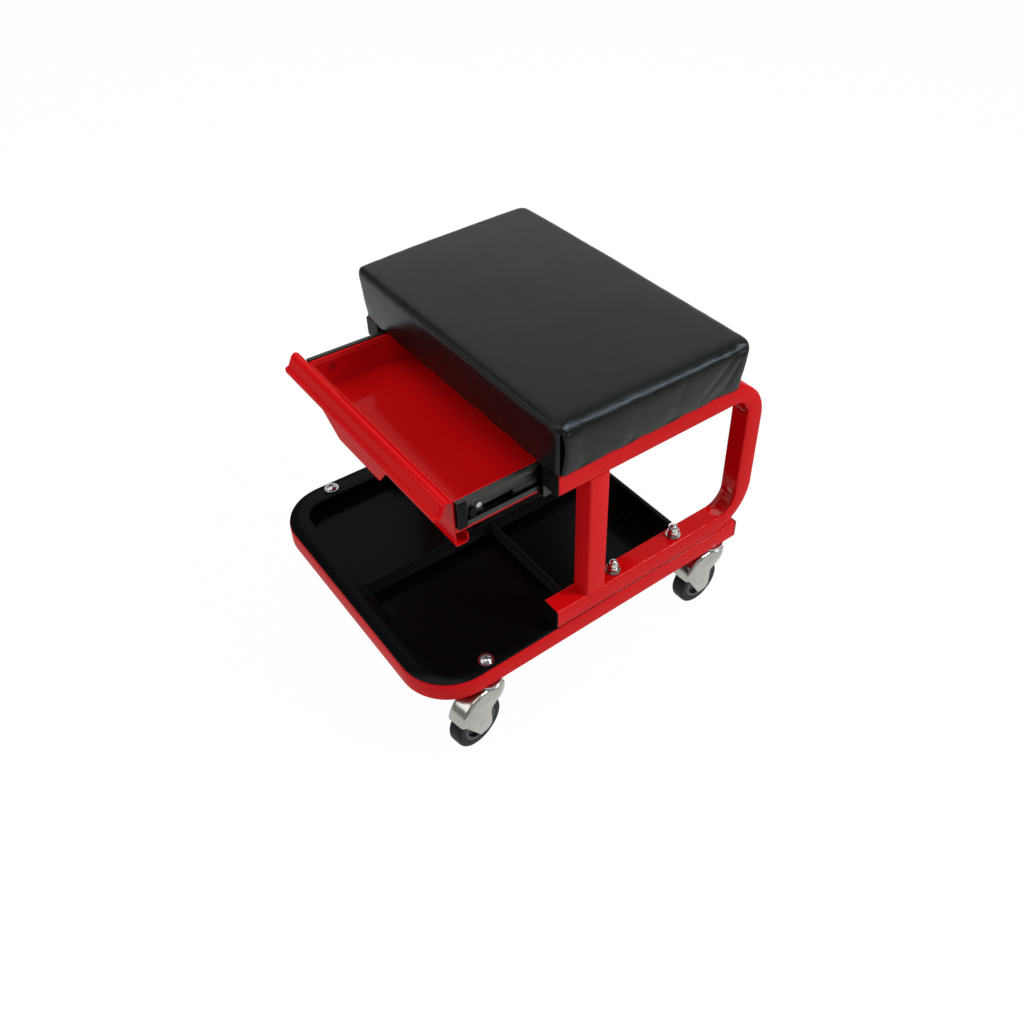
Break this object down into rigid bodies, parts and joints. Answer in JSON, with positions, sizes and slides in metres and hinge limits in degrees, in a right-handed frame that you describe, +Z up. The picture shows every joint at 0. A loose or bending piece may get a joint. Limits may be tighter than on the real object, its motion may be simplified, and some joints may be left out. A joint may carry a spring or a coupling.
{
  "type": "creeper seat",
  "caption": "Rolling workshop seat: padded seat on bent tube side frames, ball-slide drawer, divided parts tray and swivel casters.",
  "frame": {"origin": "on the floor, under the middle of the overall length and width", "axes": "+Z up, +X to the right for someone who faces the drawer's front, +Y from the drawer's front to the rear bends"},
  "size_m": [0.3971, 0.465, 0.4004],
  "materials": {
    "red_paint": "gloss red powder coat",
    "black_paint": "satin black powder coat",
    "slide_steel": "dark phosphated steel",
    "cage_steel": "bright steel",
    "black_plastic": "moulded black plastic",
    "zinc": "zinc plate",
    "fork_zinc": "bright zinc plate",
    "chrome": "polished",
    "board": "raw plywood",
    "vinyl": "black vinyl with a fine grain",
    "tyre": "hard black rubber",
    "core": "black plastic"
  },
  "bodies": {
    "frame": {"base_rail": "red_paint", "tray": "black_paint", "divider_long": "black_paint", "cross_dividers": "black_paint", "side_frame_l": "red_paint", "side_frame_r": "red_paint", "post_l": "red_paint", "post_r": "red_paint", "post_welds": "red_paint", "base_caps": "black_plastic", "run_caps": "black_plastic", "flange_bolts": "zinc", "acorn_nuts": "chrome", "nut_washers": "zinc", "front_screws": "zinc", "front_washers": "zinc", "rear_nuts": "zinc", "seat_board": "board", "seat_screws": "zinc", "cushion": "vinyl", "slide_cabinet_l": "slide_steel", "slide_cabinet_r": "slide_steel", "slide_screws": "zinc", "caster_stem_fl": "zinc", "caster_stem_fr": "zinc", "caster_stem_rl": "zinc", "caster_stem_rr": "zinc"},
    "drawer": {"drawer_box": "red_paint", "drawer_ends": "red_paint", "drawer_front": "red_paint", "drawer_screws": "zinc", "slide_drawer_l": "slide_steel", "slide_drawer_r": "slide_steel", "slide_bumper_l": "black_plastic", "slide_bumper_r": "black_plastic"},
    "cage_l": {"ball_cage_l": "cage_steel"},
    "cage_r": {"ball_cage_r": "cage_steel"},
    "lever_l": {"slide_lever_l": "black_plastic"},
    "lever_r": {"slide_lever_r": "black_plastic"},
    "swivel_fl": {"caster_fork_fl": "fork_zinc", "caster_axle_fl": "zinc"},
    "wheel_fl": {"caster_tyre_fl": "tyre", "caster_core_fl": "core"},
    "swivel_fr": {"caster_fork_fr": "fork_zinc", "caster_axle_fr": "zinc"},
    "wheel_fr": {"caster_tyre_fr": "tyre", "caster_core_fr": "core"},
    "swivel_rl": {"caster_fork_rl": "fork_zinc", "caster_axle_rl": "zinc"},
    "wheel_rl": {"caster_tyre_rl": "tyre", "caster_core_rl": "core"},
    "swivel_rr": {"caster_fork_rr": "fork_zinc", "caster_axle_rr": "zinc"},
    "wheel_rr": {"caster_tyre_rr": "tyre", "caster_core_rr": "core"}
  },
  "joints": [
    {"name": "drawer_slide", "type": "slide", "parent": "frame", "child": "drawer", "axis": [0, -1, 0], "range_m": [-0.095, 0.095]},
    {"name": "cage_slide_l", "type": "slide", "parent": "frame", "child": "cage_l", "axis": [0, -1, 0], "range_m": [-0.0475, 0.0475]},
    {"name": "cage_slide_r", "type": "slide", "parent": "frame", "child": "cage_r", "axis": [0, -1, 0], "range_m": [-0.0475, 0.0475]},
    {"name": "lever_pivot_l", "type": "hinge", "parent": "drawer", "child": "lever_l", "pos_m": [-0.1524, -0.146, 0.30125], "axis": [1, 0, 0], "range_deg": [0, 12], "stiffness_Nm_per_rad": 0.02},
    {"name": "lever_pivot_r", "type": "hinge", "parent": "drawer", "child": "lever_r", "pos_m": [0.1524, -0.146, 0.30125], "axis": [1, 0, 0], "range_deg": [0, 12], "stiffness_Nm_per_rad": 0.02},
    {"name": "swivel_fl", "type": "hinge", "parent": "frame", "child": "swivel_fl", "pos_m": [-0.1763, -0.1565, 0.08425], "axis": [0, 0, 1], "continuous": true},
    {"name": "roll_fl", "type": "hinge", "parent": "swivel_fl", "child": "wheel_fl", "pos_m": [-0.1763, -0.179, 0.03175], "axis": [1, 0, 0], "continuous": true},
    {"name": "swivel_fr", "type": "hinge", "parent": "frame", "child": "swivel_fr", "pos_m": [0.1763, -0.1565, 0.08425], "axis": [0, 0, 1], "continuous": true},
    {"name": "roll_fr", "type": "hinge", "parent": "swivel_fr", "child": "wheel_fr", "pos_m": [0.1804, -0.17862, 0.03175], "axis": [0.9833, 0.1822, 0], "continuous": true},
    {"name": "swivel_rl", "type": "hinge", "parent": "frame", "child": "swivel_rl", "pos_m": [-0.1763, 0.1865, 0.08425], "axis": [0, 0, 1], "continuous": true},
    {"name": "roll_rl", "type": "hinge", "parent": "swivel_rl", "child": "wheel_rl", "pos_m": [-0.1763, 0.164, 0.03175], "axis": [1, 0, 0], "continuous": true},
    {"name": "swivel_rr", "type": "hinge", "parent": "frame", "child": "swivel_rr", "pos_m": [0.1763, 0.1865, 0.08425], "axis": [0, 0, 1], "continuous": true},
    {"name": "roll_rr", "type": "hinge", "parent": "swivel_rr", "child": "wheel_rr", "pos_m": [0.17709, 0.16401, 0.03175], "axis": [0.9994, 0.0349, 0], "continuous": true}
  ],
  "couplings": [
    {"joint": "cage_slide_l", "follows": "drawer_slide", "ratio": 0.5},
    {"joint": "cage_slide_r", "follows": "drawer_slide", "ratio": 0.5}
  ]
}
